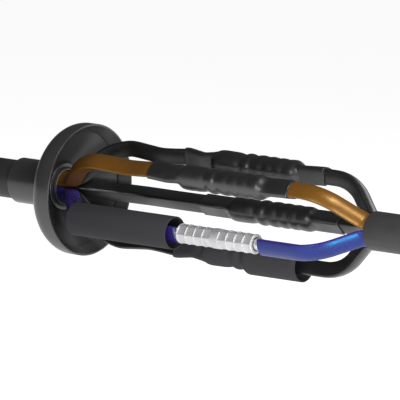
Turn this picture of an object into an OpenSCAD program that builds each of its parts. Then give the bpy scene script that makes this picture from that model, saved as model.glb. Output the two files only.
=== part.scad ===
// Straight joint in a five-core low voltage cable, opened up to show how it is made.
// Millimetres. X runs along the cable axis towards the right cable, and Z is up.
// The origin is on the cable axis, in the plane of the end cap's lip.

/* [Cable] */
// Outer diameter of the cable sheath
sheath_od = 39.4; // [34:0.2:44]
// Wall of the cable sheath
sheath_wall = 1.8; // [1.5:0.1:3]
// Thickness of the tape that binds the five cores under the sheath
tape_t = 0.25; // [0.2:0.05:0.6]
// Wall of the insulation on a core
insulation_t = 1.5; // [1.2:0.1:1.7]
// Corner radius of a sector-shaped core
core_corner_r = 1.9; // [1.9:0.1:3]
// Distance from the cap's lip back to the cut edge of the left sheath
sheath_setback = 30; // [26:1:33]
// Distance between the cut edges of the two sheaths
sheath_span = 394; // [380:1:430]
// Length of the left cable's sheath
left_sheath_l = 110; // [90:5:200]
// Length of the right cable's sheath
right_sheath_l = 60; // [40:5:200]
// Running clearance between pieces that fit over each other
fit_gap = 0.05; // [0.03:0.01:0.1]

/* [Core layout] */
// Turn of the first core about the cable axis, from the Y axis towards Z
first_core_turn = 61.5; // [50:0.5:70]
// Distance from the cable axis to the axis of each connector
ring_r = 47.7; // [44:0.1:52]
// How far a left core runs straight out of the sheath before it bends
exit_lead = 5.6; // [1:0.2:10]
// Radius of a core's bend where it leaves the sheath, on its middle line
exit_bend_r = 16.5; // [14:0.5:24]
// Radius of the bend that brings a core level with its connector
crest_bend_r = 50; // [40:0.5:60]
// Slope of the left cores between those two bends
left_turn = 47; // [46:0.5:50]
// Slope of the right cores between those two bends
right_turn = 46; // [43:0.5:50]

/* [Connectors] */
// Distance from the cap's lip to the middle of the connectors
connector_x = 201.5; // [195:0.5:215]
// Length of a connector
connector_l = 96; // [94:1:110]
// Outer diameter of a connector's barrel
connector_od = 20.4; // [19:0.2:22]
// Rounding of the connector's end rims
rim_r = 1.2; // [0.8:0.1:1.5]
// Bore of the connector at its mouths
mouth_d = 13.8; // [13.4:0.1:14.6]
// Depth of the connector's mouth before the first crimp grips
mouth_depth = 3; // [2:0.5:5]
// Diameter of the rounded bare end of a conductor
bare_d = 12.4; // [11.6:0.1:13]
// Bare conductor between the left insulation and the connector
bare_left = 4.5; // [3:0.5:6]
// Bare conductor between the right insulation and the connector
bare_right = 6.5; // [3:0.5:9]
// Length over which a bared conductor keeps its sector shape
sector_stub = 1.5; // [1:0.5:2.5]
// Thickness of the stop in the middle of a connector
stop_t = 4; // [2:0.5:6]
// Number of hexagonal crimps on each half of a connector
crimp_count = 4; // [2:1:4]
// Distance between crimps
crimp_pitch = 10.6; // [9.8:0.1:10.8]
// Width of the ridge left standing between two crimps
ridge_w = 1; // [0.6:0.1:1.4]
// Slope length of a crimp's flanks
flank_w = 0.5; // [0.3:0.1:0.7]
// Size of a crimp across its flats
crimp_flats = 17.9; // [17.2:0.1:18.4]
// Turn of the crimps from the direction that faces away from the cable axis
crimp_turn = 2; // [0:1:30]
// Length of the uncrimped rim at each end of a connector
rim_l = 1.6; // [1.4:0.1:2]

/* [Shrunk sleeves] */
// Wall of a shrunk sleeve where it lies on a core
shrunk_t = 1.4; // [1:0.1:1.8]
// Reach of a shrunk sleeve to the left of the connector's middle
sleeve_reach_left = 91.5; // [80:0.5:100]
// Reach of a shrunk sleeve to the right of the connector's middle
sleeve_reach_right = 85.5; // [76:0.5:90]
// Wall of a shrunk sleeve in the grooves between its ribs
groove_t = 1.5; // [0.8:0.05:2]
// Height of the long left swell above the grooves
swell_h = 0.65; // [0.4:0.05:1]
// Height of the ribs above the grooves
rib_h = 0.9; // [0.6:0.05:1.2]
// Number of ribs over the right half of the connector
rib_count = 3; // [1:1:3]
// Distance between those ribs
rib_pitch = 12.8; // [10:0.2:13]
// Length of one rib
rib_l = 4.6; // [3:0.2:6]
// Height of the shoulder at the right end of the swell above the grooves
shoulder_h = 0.85; // [0.5:0.05:1.6]
// Length of that shoulder
shoulder_l = 12.5; // [8:0.5:14]
// Length over which a sleeve steps from the core up to the bare conductor
step_l = 4; // [3:0.5:6]

/* [Unshrunk sleeves] */
// Outer diameter of a sleeve that isn't shrunk yet
loose_od = 33.5; // [31:0.5:36]
// Wall of a sleeve that isn't shrunk yet
loose_t = 1.4; // [1:0.1:1.8]
// Outer diameter of the open half of the half-shrunk sleeve
half_od = 33; // [30:0.2:35]
// Where the half-shrunk sleeve starts to open, left of the connector's middle
half_open_x = -5.5; // [-12:0.5:0]
// Length over which it opens
half_open_l = 10; // [7:0.5:14]
// Reach of the half-shrunk sleeve to the right of the connector's middle
half_reach_right = 69; // [60:0.5:80]
// Right end of the parked sleeve, left of the connector's middle
parked_end_x = -56.5; // [-70:0.5:-54]
// How far the parked sleeve hangs below its core's middle line
parked_drop = 0.9; // [0.5:0.1:2.4]
// Clearance between the parked sleeve and the bend that holds it
parked_gap = 0.3; // [0.2:0.05:0.5]

/* [End cap] */
// Outer diameter of the cap's rim
cap_od = 134; // [124:1:144]
// Width of the rim's straight outer band
cap_band_w = 11; // [8:0.5:14]
// Depth of the whole rim, from the lip to its flat back
cap_rim_w = 24.4; // [21:0.2:26]
// Wall of the rim at its lip
lip_t = 2; // [1.5:0.1:3]
// Depth of the sloping wall inside the rim
bowl_wall_depth = 10.4; // [8:0.2:13]
// Run of that sloping wall towards the cable
bowl_wall_run = 6.3; // [4:0.2:8]
// Radius of the collar around the cable at the bottom of the bowl
collar_r = 24; // [23:0.2:26]
// Depth of the bowl at that collar
collar_depth = 35; // [34:0.5:38]
// How far the collar stands out of the bowl's floor
collar_h = 3; // [2:0.5:4]
// Chamfer inside the collar's edge
collar_chamfer = 0.8; // [0.4:0.1:1.5]
// Wall of the bowl
bowl_t = 4; // [3:0.2:5]
// Rounding of the rim behind its straight band
cap_back_r = 17; // [16:0.5:22]
// Rounding of the lip's inner edge
lip_r = 0.7; // [0.4:0.1:0.9]
// Wall of the neck
neck_t = 3.3; // [2.5:0.1:4]
// Distance from the lip back to where the neck starts to taper
neck_back = 88.8; // [78:0.2:95]
// Length of the neck's tapered end
neck_taper_l = 1.9; // [1:0.1:6]
// Wall left at the end of the taper
neck_lip_t = 1.7; // [0.5:0.1:2.2]
// Radius of the hollow between the bowl's back and the neck
flare_r = 24; // [14:1:30]

/* [Hidden] */

// Places around the cable axis, in steps of a fifth of a turn
BLACK_TOP = 0;
BROWN = 1;
BLUE = 2;
BLACK_BOTTOM = 3;
BLACK_REAR = 4;
CORES = 5;

// How finely round surfaces are drawn
round_fn = 72;

// Sheath and the circle that the laid-up cores fill
sheath_r = sheath_od / 2;
sheath_bore_r = sheath_r - sheath_wall;
tape_r = sheath_bore_r - fit_gap;
core_r = tape_r - tape_t - fit_gap;

// Sector outline: its corner centres, seen from the cable axis
half_turn = 180 / CORES;
side_inset = core_corner_r + fit_gap;
apex_u = side_inset / sin(half_turn);
corner_r = core_r - core_corner_r;
corner_turn = half_turn - asin(side_inset / corner_r);
mid_u = (apex_u - core_corner_r + core_r) / 2;
half_depth = core_r - mid_u;

// Places along the cable axis
left_edge_x = -sheath_setback;
left_cut_x = left_edge_x - left_sheath_l;
right_edge_x = left_edge_x + sheath_span;
right_cut_x = right_edge_x + right_sheath_l;
connector_left_x = connector_x - connector_l / 2;
connector_right_x = connector_x + connector_l / 2;

// Routes of the cores' middle lines from the sheaths out to the ring
bends_r = exit_bend_r + crest_bend_r;
left_slope_l = (ring_r - mid_u - bends_r * (1 - cos(left_turn))) / sin(left_turn);
right_slope_l = (ring_r - mid_u - bends_r * (1 - cos(right_turn))) / sin(right_turn);
left_run = bends_r * sin(left_turn) + left_slope_l * cos(left_turn);
right_run = bends_r * sin(right_turn) + right_slope_l * cos(right_turn);
left_out = connector_left_x - bare_left - left_edge_x;
right_out = right_edge_x - connector_right_x - bare_right;

// Connector and what it holds
barrel_r = connector_od / 2;
bare_r = bare_d / 2;
crimp_w = crimp_pitch - ridge_w;
grip_r = bare_r + fit_gap;
bare_depth = (connector_l - stop_t) / 2 - fit_gap;

// Shrunk sleeve over the connector, measured from the connector's middle
pocket_r = barrel_r + fit_gap;
groove_r = pocket_r + groove_t;
pocket_half = connector_l / 2 + fit_gap;
skin_half = pocket_half + shrunk_t;
hidden_r = mid_u * sin(half_turn);
bare_skin_r = grip_r + shrunk_t;
bare_end_left = connector_l / 2 + bare_left;
bare_end_right = connector_l / 2 + bare_right;
swell_end = -18;
ridge_centre = -11;
first_rib_centre = 4;
rib_edge = 4;
skin_step = 1.5;

// Half-shrunk and parked sleeves
half_r = half_od / 2;
loose_r = loose_od / 2;
loose_bore_r = loose_r - loose_t;
parked_turn = first_core_turn + BLUE * 360 / CORES;
parked_reach = loose_bore_r + parked_drop * sin(parked_turn) - parked_gap;
parked_peak_x = left_edge_x + exit_lead + left_run;
parked_side_r = crest_bend_r - half_depth;
parked_side_h = crest_bend_r - parked_reach;
parked_start_x = parked_peak_x - sqrt(pow(parked_side_r, 2) - pow(parked_side_h, 2));
parked_stop_x = connector_x + parked_end_x;

// End cap profile
cap_r = cap_od / 2;
lip_bore_r = cap_r - lip_t;
floor_r = lip_bore_r - bowl_wall_run;
floor_turn = atan2(floor_r - collar_r, collar_depth - bowl_wall_depth);
lip_round_turn = atan2(bowl_wall_run, bowl_wall_depth);
cap_back_turn = asin((cap_rim_w - cap_band_w) / cap_back_r);
neck_bore_r = sheath_r + fit_gap;
neck_r = neck_bore_r + neck_t;

// Points on an arc about a centre
function arc(centre, r, from, to, steps) = [
    for (i = [0:steps])
        let (a = from + (to - from) * i / steps)
        centre + r * [cos(a), sin(a)]
];

// Arc without its two end points
function inner_arc(centre, r, from, to, steps) = [
    for (i = [1:steps - 1])
        let (a = from + (to - from) * i / steps)
        centre + r * [cos(a), sin(a)]
];

// A smooth rise from 0 to 1
function ease(t) = let (c = min(1, max(0, t))) c * c * (3 - 2 * c);

// 1 between two places and 0 away from them, with a smooth edge
function bump(x, from, to, edge) =
    ease((x - from) / edge + 0.5) * ease((to - x) / edge + 0.5);

// Outline of a core, or of what fits over it (grow > 0) or inside it (grow < 0)
function sector_outline(grow) = let (
    r = core_corner_r + grow,
    a = 90 + half_turn,
    upper = corner_r * [cos(corner_turn), sin(corner_turn)],
    lower = corner_r * [cos(corner_turn), -sin(corner_turn)]
) concat(
    arc([apex_u, 0], r, a, 360 - a, 6),
    arc(lower, r, -a, -corner_turn, 5),
    inner_arc([0, 0], core_r + grow, -corner_turn, corner_turn, 8),
    arc(upper, r, corner_turn, a, 5)
);

// Outer radius of a shrunk sleeve at a distance from the connector's middle
function swell(x) = swell_h * bump(x, -skin_half, swell_end, rib_edge);
function ridge(x) = rib_h * bump(x, ridge_centre - rib_l / 2, ridge_centre + rib_l / 2, rib_edge);
function rib(x, i) = let (c = first_rib_centre + i * rib_pitch)
    rib_h * bump(x, c - rib_l / 2, c + rib_l / 2, rib_edge);
function ribs(x, i = 0) = i == rib_count ? 0 : rib(x, i) + ribs(x, i + 1);
function shoulder(x) = shoulder_h * bump(x, skin_half - shoulder_l, skin_half + rib_edge, rib_edge);
function skin_r(x) = groove_r + swell(x) + ridge(x) + ribs(x) + shoulder(x);

// Same for the half-shrunk sleeve, which opens to a tube
function half_skin_r(x) = let (t = ease((x - half_open_x) / half_open_l))
    (groove_r + swell(x) + ridge(x)) * (1 - t) + half_r * t;
function half_bore_r(x) = let (t = ease((x - half_open_x) / half_open_l))
    pocket_r * (1 - t) + (half_r - loose_t) * t;

// Turns a profile of [radius, x] points about the X axis
module turned() rotate([0, 90, 0]) rotate_extrude($fn = round_fn) children();

// Draws a profile of [outwards, sideways] points out along X
module drawn(l) rotate([90, 0, 90]) linear_extrude(l) children();

// Plain tube along X
module tube(from, to, r, bore_r) translate([from, 0, 0]) difference() {
    turned() square([r, to - from]);
    translate([-1, 0, 0]) turned() square([bore_r, to - from + 2]);
}

// Turns a part drawn on the Y axis to a core's place
module at_core(i) rotate([first_core_turn + i * 360 / CORES, 0, 0]) children();

// Section of a core about its middle line
module core_section(grow) translate([-mid_u, 0]) polygon(sector_outline(grow));

// Turns its children about the Z axis, by eighths of a turn and then in steps of 5 degrees or
// less, because such small steps meet a bend's end face exactly
module stepped(turn, n) {
    if (n == 0) children();
    else rotate([0, 0, turn]) stepped(turn, n - 1) children();
}
module turned_by(turn) {
    eighths = 45 * round(turn / 45);
    n = ceil(abs(turn - eighths) / 5);
    rotate([0, 0, eighths]) stepped((turn - eighths) / max(1, n), n) children();
}

// Draws a section along a route from the origin, with X forwards and Y outwards. A route is a
// list of [length, 0] for a straight and [radius, turn] for a bend, which is negative inwards
module route(steps, i = 0) {
    if (i < len(steps)) {
        l = steps[i][0];
        turn = steps[i][1];
        if (turn == 0) {
            drawn(l) children();
            translate([l, 0, 0]) route(steps, i + 1) children();
        } else if (turn > 0) translate([0, l, 0]) {
            rotate([0, 0, -90]) rotate_extrude(angle = turn, $fn = 2 * round_fn)
                translate([l, 0]) mirror([1, 0]) children();
            turned_by(turn) translate([0, -l, 0]) route(steps, i + 1) children();
        } else mirror([0, 1, 0]) translate([0, l, 0]) {
            rotate([0, 0, -90]) rotate_extrude(angle = -turn, $fn = 2 * round_fn)
                translate([l, 0]) children();
            turned_by(-turn) translate([0, -l, 0]) mirror([0, 1, 0])
                route(steps, i + 1) children();
        }
    }
}

// Routes from a cable's cut end to a core's end, and past it by a stub
function left_route(stub) = [
    [left_sheath_l + exit_lead, 0], [exit_bend_r, left_turn],
    [left_slope_l, 0], [crest_bend_r, -left_turn],
    [left_out - exit_lead - left_run + stub, 0],
];
function right_route(stub) = [
    [right_sheath_l, 0], [exit_bend_r, right_turn],
    [right_slope_l, 0], [crest_bend_r, -right_turn],
    [right_out - right_run + stub, 0],
];

// Bare end of a conductor, rounded to fill the connector
module bare_end(l) translate([fit_gap, ring_r, 0]) drawn(l - fit_gap)
    circle(bare_r, $fn = round_fn);

// Cable sheaths, cut back to lay the cores open
module left_sheath() color([0.26, 0.26, 0.27])
    tube(left_cut_x, left_edge_x, sheath_r, sheath_bore_r);
module right_sheath() color([0.29, 0.29, 0.3])
    tube(right_edge_x, right_cut_x, sheath_r, sheath_bore_r);

// Tape that binds the laid-up cores
module left_tape() color([0.75, 0.74, 0.7])
    tube(left_cut_x, left_edge_x, tape_r, tape_r - tape_t);
module right_tape() color([0.75, 0.74, 0.7])
    tube(right_edge_x, right_cut_x, tape_r, tape_r - tape_t);

// Insulation of the cores
function core_colour(i) =
    i == BROWN ? [0.62, 0.41, 0.16] : i == BLUE ? [0.27, 0.22, 0.6] : [0.12, 0.12, 0.13];
module insulation_section() difference() {
    core_section(0);
    core_section(-insulation_t);
}
module left_core(i) color(core_colour(i)) at_core(i) translate([left_cut_x, mid_u, 0])
    route(left_route(0)) insulation_section();
module right_core(i) color(core_colour(i)) at_core(i) translate([right_cut_x, mid_u, 0])
    mirror([1, 0, 0]) route(right_route(0)) insulation_section();

// Conductors, sector-shaped in the core and rounded where they are bare
module left_conductor(i) color("silver") at_core(i) {
    translate([left_cut_x, mid_u, 0]) route(left_route(sector_stub))
        core_section(-insulation_t - fit_gap);
    translate([left_edge_x + left_out, 0, 0]) bare_end(bare_left + bare_depth);
}
module right_conductor(i) color("silver") at_core(i) {
    translate([right_cut_x, mid_u, 0]) mirror([1, 0, 0]) route(right_route(sector_stub))
        core_section(-insulation_t - fit_gap);
    translate([right_edge_x - right_out, 0, 0]) mirror([1, 0, 0])
        bare_end(bare_right + bare_depth);
}

// Ring cut away around one crimp, outside its hexagon
module crimp_cut() difference() {
    turned() polygon([
        [crimp_flats / 2 - 1, flank_w / 2],
        [barrel_r - rim_r / 2, flank_w / 2],
        [barrel_r + 1, -flank_w],
        [barrel_r + 1, crimp_w + flank_w],
        [barrel_r - rim_r / 2, crimp_w - flank_w / 2],
        [crimp_flats / 2 - 1, crimp_w - flank_w / 2],
    ]);
    translate([-1, 0, 0]) rotate([30 + crimp_turn, 0, 0]) drawn(crimp_w + 2)
        circle(crimp_flats / 2 / cos(30), $fn = 6);
}

// One half of a connector, from its middle to its end on the +X side
module connector_half() {
    half_l = connector_l / 2;
    difference() {
        turned() polygon(concat(
            [[0, 0], [barrel_r, 0]],
            arc([barrel_r - rim_r, half_l - rim_r], rim_r, 0, 90, 5),
            [[mouth_d / 2 + rim_r, half_l]],
            [[mouth_d / 2, half_l - rim_r], [mouth_d / 2, half_l - mouth_depth]],
            [[grip_r, half_l - mouth_depth], [grip_r, stop_t / 2], [0, stop_t / 2]]
        ));
        for (i = [0:crimp_count - 1])
            translate([half_l - rim_l - crimp_w - i * crimp_pitch, 0, 0]) crimp_cut();
    }
}

// Compression connector, crimped with a hexagonal die
module connector(i) color([0.72, 0.72, 0.73]) at_core(i) translate([connector_x, ring_r, 0]) {
    connector_half();
    mirror([1, 0, 0]) connector_half();
}

// Steps of x from one place to another, both ends included
function stations(from, to) = let (n = ceil((to - from) / skin_step))
    [for (k = [0:n]) from + (to - from) * k / n];

// Left end of a sleeve's round part, up from the core over the bare conductor
function left_step() = [
    [0, -bare_end_left - step_l],
    [hidden_r, -bare_end_left - step_l],
    [bare_skin_r, -bare_end_left],
];

// Shrunk sleeve, tight on the cores and on the connector between them
module shrunk_sleeve(i) color([0.15, 0.15, 0.16]) at_core(i) translate([connector_x, ring_r, 0])
    difference() {
        union() {
            translate([-sleeve_reach_left, 0, 0])
                drawn(sleeve_reach_left - pocket_half) core_section(shrunk_t + fit_gap);
            turned() polygon(concat(
                left_step(),
                [for (x = stations(-skin_half, skin_half)) [skin_r(x), x]],
                [[bare_skin_r, bare_end_right], [hidden_r, bare_end_right + step_l]],
                [[0, bare_end_right + step_l]]
            ));
            translate([pocket_half, 0, 0])
                drawn(sleeve_reach_right - pocket_half) core_section(shrunk_t + fit_gap);
        }
        translate([-sleeve_reach_left - 1, 0, 0])
            drawn(sleeve_reach_left + sleeve_reach_right + 2) core_section(fit_gap);
        translate([-bare_end_left, 0, 0]) turned()
            square([grip_r, bare_end_left + bare_end_right]);
        translate([-pocket_half, 0, 0]) turned() square([pocket_r, 2 * pocket_half]);
    }

// Sleeve shrunk over its left half, still a wide tube over its right half
module half_sleeve(i) color([0.15, 0.15, 0.16]) at_core(i) translate([connector_x, ring_r, 0])
    difference() {
        union() {
            translate([-sleeve_reach_left, 0, 0])
                drawn(sleeve_reach_left - pocket_half) core_section(shrunk_t + fit_gap);
            turned() polygon(concat(
                left_step(),
                [for (x = stations(-skin_half, half_open_x + half_open_l)) [half_skin_r(x), x]],
                [[half_r, half_reach_right], [0, half_reach_right]]
            ));
        }
        translate([-sleeve_reach_left - 1, 0, 0])
            drawn(sleeve_reach_left + 1) core_section(fit_gap);
        turned() polygon(concat(
            [[0, -bare_end_left], [grip_r, -bare_end_left]],
            [[grip_r, -pocket_half], [pocket_r, -pocket_half]],
            [for (x = stations(half_open_x, half_open_x + half_open_l)) [half_bore_r(x), x]],
            [[half_r - loose_t, half_reach_right + 1], [0, half_reach_right + 1]]
        ));
    }

// Sleeve that isn't shrunk, parked on the bend of its core
module parked_sleeve(i) color([0.15, 0.15, 0.16])
    translate([0, 0, -parked_drop]) at_core(i) translate([0, ring_r, 0])
    tube(parked_start_x, parked_stop_x, loose_r, loose_bore_r);

// Dished cap that closes the joint on the left, moulded with its neck
module end_cap() color([0.2, 0.2, 0.21]) {
    back_normal = [cos(floor_turn), -sin(floor_turn)];
    collar_front = collar_depth - collar_h;
    back_start = [floor_r, -bowl_wall_depth] + bowl_t * back_normal;
    turned() polygon(concat(
        // Lip and rim band
        [[lip_bore_r + lip_r, 0], [cap_r, 0]],
        arc([cap_r - cap_back_r, -cap_band_w], cap_back_r, 0, -cap_back_turn, 10),
        // Back of the bowl, down to the hollow and the neck
        [[back_start[0] - (back_start[1] + cap_rim_w) * tan(floor_turn), -cap_rim_w]],
        flare_points(back_start),
        // Neck, taper and bore
        [[neck_r, -neck_back]],
        [[neck_bore_r + neck_lip_t, -neck_back - neck_taper_l]],
        [[neck_bore_r, -neck_back - neck_taper_l]],
        [[neck_bore_r, -collar_front - collar_chamfer]],
        // Collar, floor and sloping wall
        [[neck_bore_r + collar_chamfer, -collar_front], [collar_r, -collar_front]],
        [[collar_r, -collar_depth], [floor_r, -bowl_wall_depth]],
        arc([lip_bore_r + lip_r, -lip_r], lip_r, 180 - lip_round_turn, 90, 4)
    ));
}

// Hollow between the bowl's back and the neck, tangent to both
function flare_points(start) = let (
    slope = floor_turn,
    centre_r = neck_r + flare_r,
    // Distance down the back line to its tangent point with the hollow
    drop = (start[0] - centre_r + flare_r * cos(slope)) / sin(slope),
    tangent = start - drop * [sin(slope), cos(slope)],
    centre = tangent + flare_r * [cos(slope), -sin(slope)]
) arc(centre, flare_r, 180 - slope, 180, 10);

left_sheath();  // sheath_left
right_sheath();  // sheath_right
left_tape();  // core_tape_left
right_tape();  // core_tape_right
end_cap();

left_core(BLACK_TOP);  // core_black_top_left
left_core(BROWN);  // core_brown_left
left_core(BLUE);  // core_blue_left
left_core(BLACK_BOTTOM);  // core_black_bottom_left
left_core(BLACK_REAR);  // core_black_rear_left
right_core(BLACK_TOP);  // core_black_top_right
right_core(BROWN);  // core_brown_right
right_core(BLUE);  // core_blue_right
right_core(BLACK_BOTTOM);  // core_black_bottom_right
right_core(BLACK_REAR);  // core_black_rear_right

left_conductor(BLACK_TOP);  // conductor_black_top_left
left_conductor(BROWN);  // conductor_brown_left
left_conductor(BLUE);  // conductor_blue_left
left_conductor(BLACK_BOTTOM);  // conductor_black_bottom_left
left_conductor(BLACK_REAR);  // conductor_black_rear_left
right_conductor(BLACK_TOP);  // conductor_black_top_right
right_conductor(BROWN);  // conductor_brown_right
right_conductor(BLUE);  // conductor_blue_right
right_conductor(BLACK_BOTTOM);  // conductor_black_bottom_right
right_conductor(BLACK_REAR);  // conductor_black_rear_right

connector(BLACK_TOP);  // connector_black_top
connector(BROWN);  // connector_brown
connector(BLUE);  // connector_blue
connector(BLACK_BOTTOM);  // connector_black_bottom
connector(BLACK_REAR);  // connector_black_rear

shrunk_sleeve(BLACK_TOP);  // sleeve_black_top
shrunk_sleeve(BROWN);  // sleeve_brown
parked_sleeve(BLUE);  // sleeve_blue
half_sleeve(BLACK_BOTTOM);  // sleeve_black_bottom
shrunk_sleeve(BLACK_REAR);  // sleeve_black_rear
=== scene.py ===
"""Straight joint in a five-core power cable, laid open, dressed round its fixed frame."""

import math

import bmesh
import bpy
from bpy.props import FloatProperty, FloatVectorProperty, IntProperty, PointerProperty
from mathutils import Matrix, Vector


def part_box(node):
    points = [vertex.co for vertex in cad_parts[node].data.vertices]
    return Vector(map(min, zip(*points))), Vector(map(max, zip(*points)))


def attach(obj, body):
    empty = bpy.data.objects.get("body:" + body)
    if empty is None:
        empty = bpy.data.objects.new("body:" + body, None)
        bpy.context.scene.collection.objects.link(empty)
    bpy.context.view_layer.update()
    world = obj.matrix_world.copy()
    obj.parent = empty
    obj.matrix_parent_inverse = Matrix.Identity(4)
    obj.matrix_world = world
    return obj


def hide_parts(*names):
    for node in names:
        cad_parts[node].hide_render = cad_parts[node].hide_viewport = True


bl_info = {
    "name": "Straight cable joint",
    "version": (1, 0, 0),
    "blender": (4, 5, 0),
    "location": "View3D > Sidebar > Cable joint",
    "description": "Builds an opened straight joint between two five-core power cables",
    "category": "Add Mesh",
}

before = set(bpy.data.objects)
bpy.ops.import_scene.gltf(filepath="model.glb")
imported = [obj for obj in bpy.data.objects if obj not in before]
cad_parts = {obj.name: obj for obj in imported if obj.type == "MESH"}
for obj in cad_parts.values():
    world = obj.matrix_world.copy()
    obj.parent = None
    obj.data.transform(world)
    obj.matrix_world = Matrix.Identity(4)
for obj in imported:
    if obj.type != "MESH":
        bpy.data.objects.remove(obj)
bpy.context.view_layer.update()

MM = 0.001
CORES = ("black_top", "brown", "blue", "black_bottom", "black_rear")
SLEEVED = tuple(core for core in CORES if core != "blue")
HALF_SECTOR = math.pi / len(CORES)
X_AXIS = Vector((1, 0, 0))

# Places that every piece takes from the frame
LEFT_CUT, LEFT_EDGE = (corner.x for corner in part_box("sheath_left"))
RIGHT_EDGE, RIGHT_CUT = (corner.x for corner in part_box("sheath_right"))
SHEATH_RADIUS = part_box("sheath_right")[1].z
CONNECTOR_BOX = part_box("connector_black_bottom")
CONNECTOR_MIDDLE = (CONNECTOR_BOX[0].x + CONNECTOR_BOX[1].x) / 2
CONNECTOR_HALF = (CONNECTOR_BOX[1].x - CONNECTOR_BOX[0].x) / 2
LEFT_CORE_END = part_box("core_blue_left")[1].x
RIGHT_CORE_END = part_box("core_blue_right")[0].x
SLEEVE_LEFT, SLEEVE_RIGHT = (corner.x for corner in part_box("sleeve_brown"))
HALF_SLEEVE_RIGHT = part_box("sleeve_black_bottom")[1].x
PARKED_LOW, PARKED_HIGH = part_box("sleeve_blue")


def axis_place(node):
    """Where the middle of a node stands in the YZ plane."""
    low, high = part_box(node)
    return Vector((0, (low.y + high.y) / 2, (low.z + high.z) / 2))


def ring_centre(core):
    """Where the axis of a core's connector stands in the YZ plane."""
    return axis_place("connector_" + core)


class JointSizes(bpy.types.PropertyGroup):
    """Sizes that the frame doesn't tell."""
    core_radius: FloatProperty(
        name="Core radius", description="Radius of the circle that the laid-up cores fill",
        default=17.55 * MM, min=0.01, unit="LENGTH")
    corner_radius: FloatProperty(
        name="Core corner radius", description="Rounding of a core's three edges",
        default=1.9 * MM, min=0.001, unit="LENGTH")
    insulation: FloatProperty(
        name="Insulation", description="Wall of a core's insulation",
        default=1.5 * MM, min=0.0005, unit="LENGTH")
    fit_gap: FloatProperty(
        name="Fit gap", description="Clearance between pieces that fit over each other",
        default=0.05 * MM, min=0, unit="LENGTH")
    exit_lead: FloatProperty(
        name="Exit lead", description="How far a left core runs straight before it bends",
        default=5.6 * MM, min=0, unit="LENGTH")
    exit_radius: FloatProperty(
        name="Exit bend radius", description="Radius of the bend at the sheath, on the middle line",
        default=16.5 * MM, min=0.01, unit="LENGTH")
    crest_radius: FloatProperty(
        name="Crest bend radius", description="Radius of the bend that levels a core",
        default=50 * MM, min=0.02, unit="LENGTH")
    left_turn: FloatProperty(
        name="Left slope", description="Slope of the left cores between their bends",
        default=math.radians(47), subtype="ANGLE")
    right_turn: FloatProperty(
        name="Right slope", description="Slope of the right cores between their bends",
        default=math.radians(46), subtype="ANGLE")
    sway: FloatProperty(
        name="Sway", description="How strongly the sleeved cores wave in and out of their ring",
        default=1, min=0, max=1)
    sheath_wall: FloatProperty(
        name="Sheath wall", description="Wall of a cable's sheath",
        default=1.8 * MM, min=0.001, unit="LENGTH")
    neck_wall: FloatProperty(
        name="Neck wall", description="Wall of the end cap's neck",
        default=3.3 * MM, min=0.001, unit="LENGTH")
    sleeve_wall: FloatProperty(
        name="Shrunk sleeve wall", description="Wall of a sleeve shrunk on a core",
        default=1.4 * MM, min=0.0005, unit="LENGTH")
    loose_wall: FloatProperty(
        name="Loose sleeve wall", description="Wall of a sleeve that isn't shrunk",
        default=1.4 * MM, min=0.0005, unit="LENGTH")
    half_radius: FloatProperty(
        name="Open half radius",
        description="Outer radius of the open half of the half-shrunk sleeve",
        default=16.5 * MM, min=0.01, unit="LENGTH")
    bare_radius: FloatProperty(
        name="Bare conductor radius", description="Radius of a conductor's rounded bare end",
        default=6.2 * MM, min=0.002, unit="LENGTH")
    barrel_radius: FloatProperty(
        name="Barrel radius", description="Outer radius of a connector's barrel",
        default=10.2 * MM, min=0.005, unit="LENGTH")
    ring_points: IntProperty(
        name="Points round a piece", description="Points round a turned or lofted piece",
        default=96, min=24, max=256)
    cap_points: IntProperty(
        name="Points round the cap", description="Points round the end cap",
        default=144, min=24, max=256)


class JointColours(bpy.types.PropertyGroup):
    """Base colours, in linear light."""
    sheath: FloatVectorProperty(
        name="Sheath", description="Cable sheath", subtype="COLOR", size=3,
        default=(0.03, 0.03, 0.031), min=0, max=1)
    cap: FloatVectorProperty(
        name="End cap", description="Moulded end cap", subtype="COLOR", size=3,
        default=(0.034, 0.034, 0.036), min=0, max=1)
    sleeve: FloatVectorProperty(
        name="Sleeve", description="Heat-shrink sleeve", subtype="COLOR", size=3,
        default=(0.008, 0.008, 0.0085), min=0, max=1)
    brown: FloatVectorProperty(
        name="Brown core", description="Brown insulation", subtype="COLOR", size=3,
        default=(0.13, 0.054, 0.008), min=0, max=1)
    blue: FloatVectorProperty(
        name="Blue core", description="Blue insulation", subtype="COLOR", size=3,
        default=(0.034, 0.02, 0.165), min=0, max=1)
    black: FloatVectorProperty(
        name="Black core", description="Black insulation", subtype="COLOR", size=3,
        default=(0.008, 0.008, 0.0085), min=0, max=1)
    metal: FloatVectorProperty(
        name="Connector", description="Aluminium of the connectors", subtype="COLOR", size=3,
        default=(0.6, 0.6, 0.61), min=0, max=1)
    strand: FloatVectorProperty(
        name="Conductor", description="Aluminium of the conductors", subtype="COLOR", size=3,
        default=(0.66, 0.66, 0.67), min=0, max=1)


# Node materials

PLASTIC_IOR = 1.5
# Levels of a noise between which a ramp runs
NOISE_LEVELS = (0.3, 0.7)


def new_material(name):
    """Material with an empty shader, and its node tree."""
    material = bpy.data.materials.new(name)
    material.use_nodes = True
    tree = material.node_tree
    return material, tree, tree.nodes["Principled BSDF"]


def add_node(tree, kind, **settings):
    """Adds a node. Settings that name an input socket set it, and the rest set the node."""
    node = tree.nodes.new(kind)
    for key, value in settings.items():
        label = key.replace("_", " ").title()
        if label in node.inputs:
            node.inputs[label].default_value = value
        else:
            setattr(node, key, value)
    return node


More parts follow.
